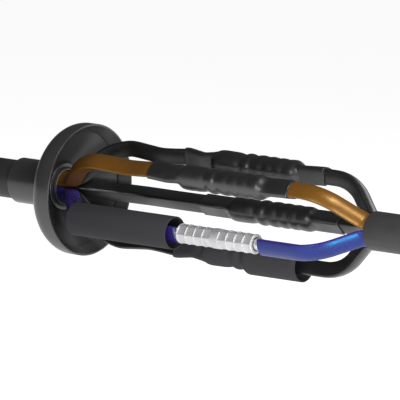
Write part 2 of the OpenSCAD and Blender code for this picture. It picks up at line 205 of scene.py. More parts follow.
def noise(tree, scale, detail, stretch=(1, 1, 1)):
    """Noise on Object coordinates, stretched along the axes. Gives its factor socket."""
    place = add_node(tree, "ShaderNodeTexCoord")
    mapping = add_node(tree, "ShaderNodeMapping")
    mapping.inputs["Scale"].default_value = stretch
    pattern = add_node(tree, "ShaderNodeTexNoise", scale=scale, detail=detail)
    tree.links.new(place.outputs["Object"], mapping.inputs["Vector"])
    tree.links.new(mapping.outputs["Vector"], pattern.inputs["Vector"])
    return pattern.outputs["Fac"]


def ramp(tree, factor, low, high):
    """Spreads a noise between two grey levels or two colours. Gives the colour socket."""
    node = add_node(tree, "ShaderNodeValToRGB")
    for end, place, value in zip(node.color_ramp.elements, NOISE_LEVELS, (low, high)):
        end.position = place
        end.color = (*value, 1) if hasattr(value, "__len__") else (value, value, value, 1)
    tree.links.new(factor, node.inputs["Fac"])
    return node.outputs["Color"]


def cloud(tree, shader, pattern, colour, dark, light):
    """Lets the base colour run from a darker to a lighter shade over a noise."""
    shades = [tuple(min(1.0, channel * factor) for channel in colour) for factor in (dark, light)]
    tree.links.new(ramp(tree, pattern, *shades), shader.inputs["Base Color"])


def roughen(tree, shader, pattern, low, high):
    """Lets the roughness run between two values over a noise."""
    tree.links.new(ramp(tree, pattern, low, high), shader.inputs["Roughness"])


def bump(tree, shader, height, strength, distance):
    """Joins a height to the shader's normal."""
    node = add_node(tree, "ShaderNodeBump", strength=strength, distance=distance)
    tree.links.new(height, node.inputs["Height"])
    tree.links.new(node.outputs["Normal"], shader.inputs["Normal"])


def gloss(shader, level, tint=(1, 1, 1)):
    """Sets how strongly a plastic reflects, and in which tint."""
    shader.inputs["IOR"].default_value = PLASTIC_IOR
    shader.inputs["Specular IOR Level"].default_value = level
    shader.inputs["Specular Tint"].default_value = (*tint, 1)


def extruded_plastic(name, colour, roughness, variation=0.12, level=0.4, tint=(1, 1, 1)):
    """Extruded plastic: faint lines along the cable, cloudy colour and a soft gloss."""
    material, tree, shader = new_material(name)
    clouds = noise(tree, scale=60, detail=4)
    lines = noise(tree, scale=500, detail=1, stretch=(0.02, 1, 1))
    cloud(tree, shader, clouds, colour, 1 - variation, 1 + variation)
    roughen(tree, shader, lines, roughness - 0.04, roughness + 0.05)
    bump(tree, shader, lines, strength=0.15, distance=0.02 * MM)
    gloss(shader, level, tint)
    return material


def moulded_plastic(name, colour, roughness):
    """Moulded plastic with a fine orange-peel skin."""
    material, tree, shader = new_material(name)
    clouds = noise(tree, scale=25, detail=3)
    skin = noise(tree, scale=700, detail=3)
    cloud(tree, shader, clouds, colour, 0.88, 1.12)
    roughen(tree, shader, clouds, roughness - 0.03, roughness + 0.06)
    bump(tree, shader, skin, strength=0.06, distance=0.02 * MM)
    gloss(shader, 0.8)
    return material


def shrink_tube(name, colour, roughness):
    """Heat-shrink tube: smooth, slightly rippled where the heat drew it down."""
    material, tree, shader = new_material(name)
    clouds = noise(tree, scale=45, detail=4)
    ripples = noise(tree, scale=240, detail=2, stretch=(0.6, 1, 1))
    cloud(tree, shader, clouds, colour, 0.85, 1.15)
    roughen(tree, shader, clouds, roughness - 0.05, roughness + 0.08)
    bump(tree, shader, ripples, strength=0.1, distance=0.015 * MM)
    gloss(shader, 1.0)
    return material


def drawn_metal(name, colour, roughness, grain=(0.03, 1, 1)):
    """Matte drawn aluminium, with fine lines along its length unless its grain is even."""
    material, tree, shader = new_material(name)
    shader.inputs["Metallic"].default_value = 1.0
    clouds = noise(tree, scale=120, detail=4)
    lines = noise(tree, scale=1500, detail=3, stretch=grain)
    cloud(tree, shader, clouds, colour, 0.9, 1.08)
    roughen(tree, shader, lines, roughness - 0.06, roughness + 0.08)
    bump(tree, shader, lines, strength=0.2, distance=0.03 * MM)
    return material


def woven_tape(name):
    """Pale non-woven binder tape."""
    material, tree, shader = new_material(name)
    dark, light = (0.42, 0.41, 0.37), (0.6, 0.59, 0.55)
    fibres = noise(tree, scale=1400, detail=5, stretch=(1, 0.3, 0.3))
    tree.links.new(ramp(tree, fibres, dark, light), shader.inputs["Base Color"])
    bump(tree, shader, fibres, strength=0.5, distance=0.08 * MM)
    shader.inputs["Roughness"].default_value = 0.9
    return material


def dress(piece, material):
    """Gives a piece its only material."""
    piece.data.materials.clear()
    piece.data.materials.append(material)


def settle(piece, node, material):
    """Dresses a piece that stands for a CAD node, and lets it ride."""
    dress(piece, material)
    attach(piece, "root")
    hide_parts(node)
    return piece


# Modelling helpers

MERGE_DISTANCE = 0.001 * MM


def deselect():
    """Leaves edit mode and deselects everything."""
    if bpy.context.object and bpy.context.object.mode != "OBJECT":
        bpy.ops.object.mode_set(mode="OBJECT")
    bpy.ops.object.select_all(action="DESELECT")


def closed_loop(name, points):
    """Adds a circle, moves its points to an outline and goes to edit mode."""
    deselect()
    bpy.ops.mesh.primitive_circle_add(vertices=len(points), radius=MM, fill_type="NOTHING")
    piece = bpy.context.object
    piece.name = name
    for vertex, point in zip(piece.data.vertices, points):
        vertex.co = point
    bpy.ops.object.mode_set(mode="EDIT")
    bpy.ops.mesh.select_all(action="SELECT")
    return piece


def shade_smooth(angle):
    """Shades the selected piece smooth, apart from edges sharper than an angle in degrees."""
    bpy.ops.object.shade_smooth_by_angle(angle=math.radians(angle))


def close_up(angle=32):
    """Merges the doubles of the piece at hand, turns its faces outwards and shades it smooth."""
    bpy.ops.object.mode_set(mode="EDIT")
    bpy.ops.mesh.select_all(action="SELECT")
    bpy.ops.mesh.remove_doubles(threshold=MERGE_DISTANCE)
    bpy.ops.mesh.normals_make_consistent(inside=False)
    bpy.ops.object.mode_set(mode="OBJECT")
    shade_smooth(angle)


def spun(name, profile, steps, centre=Vector((0, 0, 0))):
    """Spins a closed profile of (x, radius) points about an axis along X."""
    points = [centre + Vector((x, 0, radius)) for x, radius in profile]
    piece = closed_loop(name, points)
    bpy.ops.mesh.spin(steps=steps, angle=math.tau, center=centre, axis=X_AXIS)
    close_up()
    return piece


def lofted(name, rings):
    """Extrudes a ring of points from place to place. Each ring is a list of points."""
    piece = closed_loop(name, rings[0])
    count = len(rings[0])
    for ring in rings[1:]:
        bpy.ops.mesh.extrude_region_move(TRANSFORM_OT_translate={"value": (0, 0, 0)})
        mesh = bmesh.from_edit_mesh(piece.data)
        mesh.verts.ensure_lookup_table()
        for vertex, point in zip(mesh.verts[-count:], ring):
            vertex.co = point
        bmesh.update_edit_mesh(piece.data)
    return piece


def fillet(centre, radius, start, stop, steps):
    """Points on an arc in a profile. Angles run from the X axis towards the radius."""
    angles = (math.radians(start + (stop - start) * i / steps) for i in range(steps + 1))
    return [
        (centre[0] + radius * math.cos(a), centre[1] + radius * math.sin(a)) for a in angles]


def ease(t):
    """A smooth rise from 0 to 1."""
    t = min(1.0, max(0.0, t))
    return t * t * (3 - 2 * t)


def curve(keys, x):
    """Value at x, in metres, on a smooth curve through (x, value) keys in millimetres."""
    x = min(max(x / MM, keys[0][0]), keys[-1][0])
    i = next(i for i in range(len(keys) - 1) if x <= keys[i + 1][0])
    (px, py), (ax, ay), (bx, by), (nx, ny) = (
        keys[max(0, i - 1)], keys[i], keys[i + 1], keys[min(len(keys) - 1, i + 2)])
    step = bx - ax
    t = (x - ax) / step
    # Slopes at the keys on both sides of x
    go, come = (by - py) / (bx - px) * step, (ny - ay) / (nx - ax) * step
    return MM * (
        ay + (by - ay) * t * t * (3 - 2 * t) + go * t * (1 - t) ** 2 - come * t * t * (1 - t))


# Camera, lamps and floor

# Name, direction from the middle of the joint, distance, size and power in watts of each lamp
LAMPS = (
    ("key", (0.8, -0.6, -0.02), 0.95, (0.28, 0.24), 4.2),
    ("top_right", (0.67, -0.16, 0.73), 0.95, (0.3, 0.3), 6),
    ("front_light", (0.16, -0.97, 0.18), 1.1, (0.2, 0.2), 3),
    ("rear_light", (0.15, 0.9, 0.35), 1.2, (0.8, 0.3), 2.5),
)
LAMP_TARGET = Vector((0.14, 0, 0))
WORLD_LIGHT = 0.1

FLOOR_SIZE = 24
FLOOR_LEVEL = -0.2
FLOOR_GREY = 0.8
FLOOR_GLOW = 0.86

# The camera stands far off, so that the joint shows nearly without perspective. The view's
# width is measured at the joint, and its lift moves the joint down in the picture
VIEW_TURN = math.radians(38.83)
VIEW_RISE = math.radians(10.25)
VIEW_DISTANCE = 10.0
VIEW_WIDTH = 0.4
VIEW_MIDDLE = Vector((0.1425, 0, 0))
VIEW_LIFT = 5.65 * MM
SENSOR_WIDTH = 36


def soft_lamp(name, direction, distance, size, power):
    """Rectangular area lamp that looks at the middle of the joint."""
    lamp = bpy.data.lights.new(name, "AREA")
    lamp.shape = "RECTANGLE"
    lamp.size, lamp.size_y = size
    lamp.energy = power
    thing = bpy.data.objects.new(name, lamp)
    bpy.context.scene.collection.objects.link(thing)
    thing.location = LAMP_TARGET + Vector(direction).normalized() * distance
    thing.rotation_euler = (LAMP_TARGET - thing.location).to_track_quat("-Z", "Y").to_euler()


class CABLE_JOINT_OT_stage(bpy.types.Operator):
    """Adds the floor, the lamps and a camera at the picture's viewing angle"""
    bl_idname = "cable_joint.stage"
    bl_label = "Stage"

    def execute(self, context):
        self.floor()
        self.world(context.scene)
        for lamp in LAMPS:
            soft_lamp(*lamp)
        self.camera(context.scene)
        context.scene.view_settings.view_transform = "Standard"
        return {"FINISHED"}

    def floor(self):
        """Adds a wide pale floor under the joint."""
        deselect()
        bpy.ops.mesh.primitive_plane_add(size=FLOOR_SIZE, location=(0, 0, FLOOR_LEVEL))
        floor = bpy.context.object
        floor.name = "floor"
        material, tree, shader = new_material("pale_floor")
        shader.inputs["Base Color"].default_value = (FLOOR_GREY, FLOOR_GREY, FLOOR_GREY, 1)
        shader.inputs["Roughness"].default_value = 0.9
        self.show_white(tree, shader.outputs["BSDF"], tree.nodes["Material Output"])
        dress(floor, material)

    def show_white(self, tree, surface, output):
        """Adds white light for the camera, gloss and glass, so that only shadows show."""
        path = add_node(tree, "ShaderNodeLightPath")
        glow = add_node(tree, "ShaderNodeEmission", strength=FLOOR_GLOW)
        seen = path.outputs["Is Camera Ray"]
        for ray in ("Is Glossy Ray", "Is Transmission Ray"):
            either = add_node(tree, "ShaderNodeMath", operation="MAXIMUM")
            tree.links.new(seen, either.inputs[0])
            tree.links.new(path.outputs[ray], either.inputs[1])
            seen = either.outputs[0]
        both = add_node(tree, "ShaderNodeAddShader")
        mix = add_node(tree, "ShaderNodeMixShader")
        tree.links.new(surface, both.inputs[0])
        tree.links.new(glow.outputs[0], both.inputs[1])
        tree.links.new(seen, mix.inputs["Fac"])
        tree.links.new(surface, mix.inputs[1])
        tree.links.new(both.outputs[0], mix.inputs[2])
        tree.links.new(mix.outputs[0], output.inputs["Surface"])

    def world(self, scene):
        """Sets a faint even light all round."""
        world = bpy.data.worlds.new("studio")
        scene.world = world
        world.use_nodes = True
        background = world.node_tree.nodes["Background"]
        background.inputs["Color"].default_value = (1, 1, 1, 1)
        background.inputs["Strength"].default_value = WORLD_LIGHT

    def camera(self, scene):
        """Sets the camera at the picture's viewing angle."""
        lens = bpy.data.cameras.new("camera")
        lens.sensor_width = SENSOR_WIDTH
        lens.lens = SENSOR_WIDTH * VIEW_DISTANCE / VIEW_WIDTH
        lens.clip_end = 10 * VIEW_DISTANCE
        camera = bpy.data.objects.new("camera", lens)
        scene.collection.objects.link(camera)
        level = math.cos(VIEW_RISE)
        back = Vector((
            math.sin(VIEW_TURN) * level, -math.cos(VIEW_TURN) * level, math.sin(VIEW_RISE)))
        camera.rotation_mode = "QUATERNION"
        camera.rotation_quaternion = (-back).to_track_quat("-Z", "Y")
        up = camera.rotation_quaternion @ Vector((0, 1, 0))
        camera.location = VIEW_MIDDLE + up * VIEW_LIFT + back * VIEW_DISTANCE
        scene.camera = camera


# Cable sheaths and binder tape

class CABLE_JOINT_OT_sheaths(bpy.types.Operator):
    """Turns both cable sheaths, with lightly broken cut edges"""
    bl_idname = "cable_joint.sheaths"
    bl_label = "Cable sheaths"

    def execute(self, context):
        sizes = context.scene.joint_sizes
        colours = context.scene.joint_colours
        material = extruded_plastic("cable_sheath", colours.sheath, roughness=0.5)
        outer, bore, edge = SHEATH_RADIUS, SHEATH_RADIUS - sizes.sheath_wall, 0.35 * MM
        for node, low, high in (
            ("sheath_left", LEFT_CUT, LEFT_EDGE), ("sheath_right", RIGHT_EDGE, RIGHT_CUT)
        ):
            profile = (
                fillet((low + edge, outer - edge), edge, 180, 90, 4)
                + fillet((high - edge, outer - edge), edge, 90, 0, 4)
                + [(high, bore), (low, bore)]
            )
            piece = spun(node + "_skin", profile, sizes.ring_points)
            settle(piece, node, material)
        tape = woven_tape("binder_tape")
        for node in ("core_tape_left", "core_tape_right"):
            dress(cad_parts[node], tape)
        return {"FINISHED"}


# Sector-shaped cores

def inner_corner():
    """Distance from the cable axis to the centre of a core's inner corner."""
    sizes = bpy.context.scene.joint_sizes
    return (sizes.corner_radius + sizes.fit_gap) / math.sin(HALF_SECTOR)


def middle_radius():
    """Distance from the cable axis to a core's middle line inside the sheath."""
    sizes = bpy.context.scene.joint_sizes
    return (inner_corner() - sizes.corner_radius + sizes.core_radius) / 2


def sector_outline(grow, points=7):
    """Outline of a core about its middle line, grown or shrunk: (outwards, sideways) points.

    Each of its three rounded corners and its crown has the same number of points.
    """
    sizes = bpy.context.scene.joint_sizes
    corner, middle = sizes.corner_radius, middle_radius()
    reach = sizes.core_radius - corner
    turn = HALF_SECTOR - math.asin((corner + sizes.fit_gap) / reach)
    side = math.pi / 2 + HALF_SECTOR
    out, across = reach * math.cos(turn), reach * math.sin(turn)
    arcs = (
        (inner_corner(), 0, corner, side, math.tau - side),
        (out, -across, corner, -side, -turn),
        (0, 0, sizes.core_radius, -turn, turn),
        (out, across, corner, turn, side),
    )
    outline = []
    for cx, cy, radius, start, stop in arcs:
        radius += grow
        for i in range(points):
            a = start + (stop - start) * i / points
            outline.append((cx + radius * math.cos(a) - middle, cy + radius * math.sin(a)))
    return outline


def core_frame(core):
    """Directions of a core's place: out from the cable axis, and sideways."""
    out = ring_centre(core).normalized()
    return out, X_AXIS.cross(out)


# How far the sleeved cores sway out of their ring: (place, outwards) in millimetres
LEFT_SWAY = (
    (16, 0), (24, 0.05), (41, 0.9), (60, -0.7), (77, -2.0), (94, -1.1), (111, 0.35), (122, -0.9),
    (132.5, -2.1), (142, -0.9), (149, 0), (160, 0))
RIGHT_SWAY = ((240, 0), (250, 0), (258, -1.3), (270, -0.7), (284, 0), (295, 0))


def sway(core, x):
    """How far a core stands out of its ring at a place. The blue core runs level."""
    if core not in SLEEVED or (core == "black_bottom" and x > CONNECTOR_MIDDLE):
        return 0.0
    keys = LEFT_SWAY if x < CONNECTOR_MIDDLE else RIGHT_SWAY
    return curve(keys, x) * bpy.context.scene.joint_sizes.sway


# How finely a core's route follows its two bends, its straight end and its sway
EXIT_STEPS, CREST_STEPS = 12, 18
STRAIGHT_STEP = 3 * MM
SLOPE_STEP = 0.1 * MM


def core_route(core, side, stub=0.0):
    """Middle line of a core: places of (x, distance from the cable axis, slope).

    The side is 1 for a left core, which runs to the right, and -1 for a right one.
    """
    sizes = bpy.context.scene.joint_sizes
    near, ring = middle_radius(), ring_centre(core).length
    if side > 0:
        start, bend, stop = LEFT_CUT, LEFT_EDGE + sizes.exit_lead, LEFT_CORE_END + stub
        turn = sizes.left_turn
    else:
        start, bend, stop = RIGHT_CUT, RIGHT_EDGE, RIGHT_CORE_END - stub
        turn = sizes.right_turn
    exit_r, crest_r = sizes.exit_radius, sizes.crest_radius
    slope = (ring - near - (exit_r + crest_r) * (1 - math.cos(turn))) / math.sin(turn)
    run = (exit_r + crest_r) * math.sin(turn) + slope * math.cos(turn)
    level = bend + side * run
    places = [(start, near, 0.0)]
    for i in range(EXIT_STEPS + 1):
        a = turn * i / EXIT_STEPS
        places.append((bend + side * exit_r * math.sin(a), near + exit_r * (1 - math.cos(a)), a))
    for i in range(CREST_STEPS + 1):
        a = turn * (1 - i / CREST_STEPS)
        places.append((level - side * crest_r * math.sin(a), ring - crest_r * (1 - math.cos(a)), a))
    count = math.ceil(abs(stop - level) / STRAIGHT_STEP)
    for i in range(1, count + 1):
        places.append((level + (stop - level) * i / count, ring, 0.0))
    return [swayed(core, side, *place) for place in places]


def swayed(core, side, x, radius, slope):
    """A place on a core's route, moved and turned by its sway."""
    rise = sway(core, x + SLOPE_STEP) - sway(core, x - SLOPE_STEP)
    return x, radius + sway(core, x), slope + math.atan(side * rise / (2 * SLOPE_STEP))


def route_rings(core, side, outline, places):
    """Rings of an outline set square on a route."""
    out, across = core_frame(core)
    rings = []
    for x, r, a in places:
        up = out * math.cos(a) - X_AXIS * side * math.sin(a)
        middle = X_AXIS * x + out * r
        rings.append([middle + up * u + across * v for u, v in outline])
    return rings


class CABLE_JOINT_OT_cores(bpy.types.Operator):
    """Draws the insulation of every core along its bends, as one wall"""
    bl_idname = "cable_joint.cores"
    bl_label = "Core insulation"

    def execute(self, context):
        sizes, colours = context.scene.joint_sizes, context.scene.joint_colours
        finishes = {
            "brown": extruded_plastic(
                "insulation_brown", colours.brown, roughness=0.35, variation=0.08,
                level=1.0, tint=(1, 0.62, 0.25)),
            "blue": extruded_plastic(
                "insulation_blue", colours.blue, roughness=0.28, variation=0.08,
                level=1.0, tint=(0.02, 0.36, 0.6)),
        }
        black = extruded_plastic("insulation_black", colours.black, roughness=0.33, level=0.6)
        outline = sector_outline(0)
        for core in CORES:
            for side, hand in ((1, "left"), (-1, "right")):
                node = f"core_{core}_{hand}"
                rings = route_rings(core, side, outline, core_route(core, side))
                piece = lofted(node + "_skin", rings)
                close_up(angle=30)
                self.thicken(piece, sizes.insulation)
                settle(piece, node, finishes.get(core, black))
        return {"FINISHED"}

    def thicken(self, piece, wall):
        """Gives an open skin its wall, inwards."""
        solid = piece.modifiers.new("wall", "SOLIDIFY")
        solid.thickness = wall
        solid.offset = -1
        solid.use_even_offset = True
        bpy.ops.object.modifier_apply(modifier=solid.name)
        shade_smooth(30)


# End cap

# Depths run back from the lip, and drops run in from the rim
BAND_WIDTH = 11 * MM
RIM_BACK_RADIUS = 17 * MM
RIM_DEPTH = 24.4 * MM
RIM_BACK_DROP = 7 * MM
LIP_WALL = 2 * MM
DISH_WALL = 4 * MM
BOWL_WALL_DEPTH = 10.4 * MM
BOWL_WALL_DROP = 8.3 * MM
BOWL_BEND_DEPTH = 12.2 * MM
BOWL_BEND_DROP = 9.8 * MM
COLLAR_RADIUS = 24 * MM
COLLAR_DEPTH = 35 * MM
COLLAR_FRONT = 32 * MM
COLLAR_CHAMFER = 0.8 * MM
FLARE_RADIUS = 24 * MM
# The neck's taper, from its free end
TAPER_START = 1.9 * MM
TAPER_END_WALL = 1.2 * MM
NECK_CHAMFER = 0.3 * MM
# Roundings, from the lip's outer edge round the back to its inner edge
LIP_EDGE = 0.3 * MM
BACK_EDGE = 0.4 * MM
NOOK_RADIUS = 1.4 * MM
TAPER_ROUND = 0.8 * MM
NECK_EDGE = 0.5 * MM
COLLAR_EDGE = 0.5 * MM
COLLAR_ROUND = 0.6 * MM
COLLAR_FOOT = 0.8 * MM
BOWL_BEND = 2 * MM
LIP_ROUND = 0.6 * MM


class CABLE_JOINT_OT_end_cap(bpy.types.Operator):
    """Turns the dished end cap with its collar, flare and neck"""
    bl_idname = "cable_joint.end_cap"
    bl_label = "End cap"

    def execute(self, context):
        sizes = context.scene.joint_sizes
        low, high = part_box("end_cap")
        rim, back = high.z, low.x
        bore = SHEATH_RADIUS + sizes.fit_gap
        neck = bore + sizes.neck_wall
        profile = self.outside(rim, back, neck) + self.neck_end(back, bore) + self.bowl(rim, bore)
        piece = spun("end_cap_skin", profile, sizes.cap_points)
        material = moulded_plastic("cap_plastic", context.scene.joint_colours.cap, roughness=0.3)
        settle(piece, "end_cap", material)
        return {"FINISHED"}

    def outside(self, rim, back, neck):
        """Profile from the lip along the rim, the dish's sloping back, the flare and the neck."""
        bowl_drop = rim - BOWL_WALL_DROP - COLLAR_RADIUS
        slope = math.atan2(bowl_drop, COLLAR_DEPTH - BOWL_WALL_DEPTH)
        sine, cosine = math.sin(slope), math.cos(slope)
        start_x = -BOWL_WALL_DEPTH - DISH_WALL * sine
        start_r = rim - BOWL_WALL_DROP + DISH_WALL * cosine
        drop = (start_r - neck - FLARE_RADIUS * (1 - cosine)) / sine
        hollow = (start_x - drop * cosine - FLARE_RADIUS * sine, neck + FLARE_RADIUS)
        ledge_r = start_r - (start_x + RIM_DEPTH) * math.tan(slope)
        nook_r = ledge_r - NOOK_RADIUS * math.tan(slope) + NOOK_RADIUS / cosine
        turn = math.degrees(slope) - 90
        return (
            fillet((-LIP_EDGE, rim - LIP_EDGE), LIP_EDGE, 0, 90, 3)
            + fillet((-BAND_WIDTH, rim - RIM_BACK_RADIUS), RIM_BACK_RADIUS, 90, 141, 16)
            + fillet((BACK_EDGE - RIM_DEPTH, rim - RIM_BACK_DROP), BACK_EDGE, 150, 180, 2)
            + fillet((-RIM_DEPTH - NOOK_RADIUS, nook_r), NOOK_RADIUS, 0, turn, 4)
            + fillet(hollow, FLARE_RADIUS, turn, -90, 16)
            + fillet((back + TAPER_START, neck - TAPER_ROUND), TAPER_ROUND, 90, 135, 3)
        )

    def neck_end(self, back, bore):
        """Profile round the neck's free end, and along its bore to the collar."""
        return fillet((back + NECK_EDGE, bore + TAPER_END_WALL), NECK_EDGE, 135, 180, 3) + [
            (back, bore + NECK_CHAMFER), (back + NECK_CHAMFER, bore),
            (-COLLAR_FRONT - COLLAR_CHAMFER, bore)]

    def bowl(self, rim, bore):
        """Profile over the collar, along the bowl's floor and wall to the lip."""
        front, foot = -COLLAR_FRONT, -COLLAR_DEPTH
        return (
            fillet((front - COLLAR_EDGE, bore + COLLAR_EDGE), COLLAR_EDGE, 225, 360, 5)
            + fillet((front - COLLAR_ROUND, COLLAR_RADIUS - COLLAR_ROUND), COLLAR_ROUND, 0, 90, 5)
            + fillet((foot + COLLAR_FOOT, COLLAR_RADIUS + COLLAR_FOOT), COLLAR_FOOT, 270, 325, 4)
            + fillet((-BOWL_BEND_DEPTH, rim - BOWL_BEND_DROP), BOWL_BEND, 125, 35, 8)
            + fillet((-LIP_ROUND, rim - LIP_WALL + LIP_ROUND), LIP_ROUND, 211, 360, 6)
        )


# Compression connectors and bare conductors

# How far a conductor keeps its sector form past the insulation, and ends from the middle
SECTOR_STUB = 1.5 * MM
CONDUCTOR_SETBACK = 2.05 * MM
# Crimps of a connector, from each end towards the middle
CRIMPS = 4
CRIMP_FLAT = 8.95 * MM
CRIMP_WIDTH = 9.6 * MM
CRIMP_PITCH = 10.6 * MM
CRIMP_START = 1.6 * MM
CRIMP_FLANK = 0.45 * MM
CRIMP_TURN = math.radians(2)
# Ends of a connector's barrel
BARREL_ROUND = 1.2 * MM
MOUTH_RADIUS = 6.9 * MM
MOUTH_DEPTH = 14 * MM
MOUTH_CHAMFER = 0.5 * MM


class CABLE_JOINT_OT_connectors(bpy.types.Operator):
    """Forms the bare connector with its hexagonal crimps, and dresses the covered ones"""
    bl_idname = "cable_joint.connectors"
    bl_label = "Connectors"

    def execute(self, context):
        sizes, colours = context.scene.joint_sizes, context.scene.joint_colours
        metal = drawn_metal("connector_aluminium", colours.metal, roughness=0.66)
        strand = drawn_metal("conductor_aluminium", colours.strand, roughness=0.35, grain=(1, 1, 1))
        settle(self.barrel(sizes), "connector_blue", metal)
        dress(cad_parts["conductor_blue_left"], strand)
        for core in CORES:
            dress(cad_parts[f"conductor_{core}_right"], strand)
        for core in SLEEVED:
            dress(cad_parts["connector_" + core], metal)
            self.left_conductor(core, sizes, strand)
        return {"FINISHED"}

    def left_conductor(self, core, sizes, material):
        """Sector-shaped conductor along its core, round where it is bare."""
        outline = sector_outline(-sizes.insulation - sizes.fit_gap, 5)
        angles = [math.atan2(v, u) for u, v in outline]
        radius, ring = sizes.bare_radius, ring_centre(core).length
        circle = [(radius * math.cos(a), radius * math.sin(a)) for a in angles]
        places = core_route(core, 1, SECTOR_STUB)
        bare = [(x, ring, 0.0) for x in (places[-1][0], CONNECTOR_MIDDLE - CONDUCTOR_SETBACK)]
        rings = route_rings(core, 1, outline, places) + route_rings(core, 1, circle, bare)
        node = f"conductor_{core}_left"
        piece = lofted(node + "_skin", rings)
        bpy.ops.mesh.select_all(action="SELECT")
        bpy.ops.mesh.fill_holes(sides=0)
        close_up()
        settle(piece, node, material)

    def barrel(self, sizes):
        """Barrel whose crimps press it to a hexagon, with a blind bore in each end."""
        radius, half, count = sizes.barrel_radius, CONNECTOR_HALF, sizes.ring_points
        end = fillet((half - BARREL_ROUND, radius - BARREL_ROUND), BARREL_ROUND, 0, 90, 5)
        outer = [(x, r, 0.0) for x, r in end]
        for i in range(CRIMPS):
            high = half - CRIMP_START - i * CRIMP_PITCH
            low = high - CRIMP_WIDTH
            outer += [(high, radius, 0.0), (high - CRIMP_FLANK, radius, 1.0)]
            outer += [(low + CRIMP_FLANK, radius, 1.0), (low, radius, 0.0)]
        mouth = [
            (-half, MOUTH_RADIUS + MOUTH_CHAMFER, 0.0), (MOUTH_CHAMFER - half, MOUTH_RADIUS, 0.0),
            (MOUTH_DEPTH - half, MOUTH_RADIUS, 0.0)]
        places = self.mirrored(mouth) + outer + self.mirrored(outer) + mouth
        piece = lofted("connector_blue_skin", [self.ring(count, *place) for place in places])
        # Close the two blind bores
        for index in (0, len(places) - 1):
            self.fill_ring(piece, index * count, count)
        close_up(angle=20)
        edge = piece.modifiers.new("broken_edges", "BEVEL")
        edge.width = 0.18 * MM
        edge.segments = 2
        edge.limit_method = "ANGLE"
        edge.angle_limit = math.radians(20)
        bpy.ops.object.modifier_apply(modifier=edge.name)
        shade_smooth(35)
        return piece

    def mirrored(self, places):
        """Places of the other half of the connector, in the order that carries on."""
        return [(-x, radius, pressed) for x, radius, pressed in reversed(places)]

    def ring(self, count, x, radius, pressed):
        """Ring of points on the barrel, pressed by a share from round to a hexagon."""
        centre = ring_centre("blue") + X_AXIS * CONNECTOR_MIDDLE + X_AXIS * x
        out, across = core_frame("blue")
        side = math.pi / 3
        points = []
        for i in range(count):
            a = math.tau * i / count
            hexagon = CRIMP_FLAT / math.cos((a + side / 2) % side - side / 2)
            r = radius + (min(radius, hexagon) - radius) * pressed
            way = out * math.cos(a + CRIMP_TURN) + across * math.sin(a + CRIMP_TURN)
            points.append(centre + way * r)
        return points

    def fill_ring(self, piece, first, count):
        """Closes a ring of points with one face."""
        bpy.ops.object.mode_set(mode="EDIT")
        bpy.ops.mesh.select_all(action="DESELECT")
        mesh = bmesh.from_edit_mesh(piece.data)
        mesh.verts.ensure_lookup_table()
        for vertex in mesh.verts[first:first + count]:
            vertex.select = True
        mesh.select_flush(True)
        bmesh.update_edit_mesh(piece.data)
        bpy.ops.mesh.edge_face_add()


# Heat-shrink sleeves

# Outer radius of a shrunk sleeve over its connector: (place from the middle, radius), in
# millimetres
SKIN = (
    (-52, 11.4), (-49.5, 12.2), (-45, 12.75), (-36, 12.7), (-28, 12.55), (-23.5, 12.0),
    (-20, 11.35), (-17, 11.65), (-13.5, 12.8), (-9.5, 12.85), (-6.5, 11.9), (-4, 11.75),
    (-0.5, 12.4), (4, 12.85), (8, 12.45), (10.4, 12.05), (13.2, 12.45), (16.8, 12.8),
    (20.5, 12.45), (23.2, 12.05), (26, 12.4), (29.6, 12.75), (33.2, 12.45), (35.8, 12.1),
    (38.5, 12.35), (42.5, 12.65), (46.5, 12.5), (49, 11.8), (52, 11.2))
# Where a sleeve's swell over the connector starts at each end, and over what length it rises
SWELL_LEFT, SWELL_LEFT_LENGTH = -58.5 * MM, 9 * MM
SWELL_RIGHT, SWELL_RIGHT_LENGTH = 56 * MM, 8 * MM
# Steps inside a sleeve, from the middle: past the connector, then past the bare conductor
POCKET_END, POCKET_STEP = 48.0 * MM, 48.1 * MM
BARE_LEFT, BARE_RIGHT, BARE_STEP = 52.4 * MM, 54.4 * MM, 54.6 * MM
# Where the half-shrunk sleeve opens, and where its rings become few
OPENING_START, OPENING_LENGTH = -5.5 * MM, 10 * MM
OPEN_FINE, OPEN_COARSE, OPEN_BORE = 6 * MM, 12 * MM, 20 * MM
# Spacing of a sleeve's rings outside, on its tails inside and on an open half
SKIN_STEP, TAIL_STEP, OPEN_STEP = 1 * MM, 3 * MM, 10 * MM
SLEEVE_EDGE, BORE_EDGE = 0.3 * MM, 0.2 * MM
# How near to parallel a ray may run to an edge, and how far past its ends it may meet it
PARALLEL, SLACK = 1e-12, 1e-9


def ray_radius(outline, angle):
    """Distance from the middle to an outline in one direction."""
    dx, dy = math.cos(angle), math.sin(angle)
    best = 0.0
    for (ax, ay), (bx, by) in zip(outline, outline[1:] + outline[:1]):
        cross = dx * (by - ay) - dy * (bx - ax)
        if abs(cross) < PARALLEL:
            continue
        reach = (ax * (by - ay) - ay * (bx - ax)) / cross
        along = (ax * dy - ay * dx) / cross
        if reach > 0 and -SLACK <= along <= 1 + SLACK:
            best = max(best, reach)
    return best


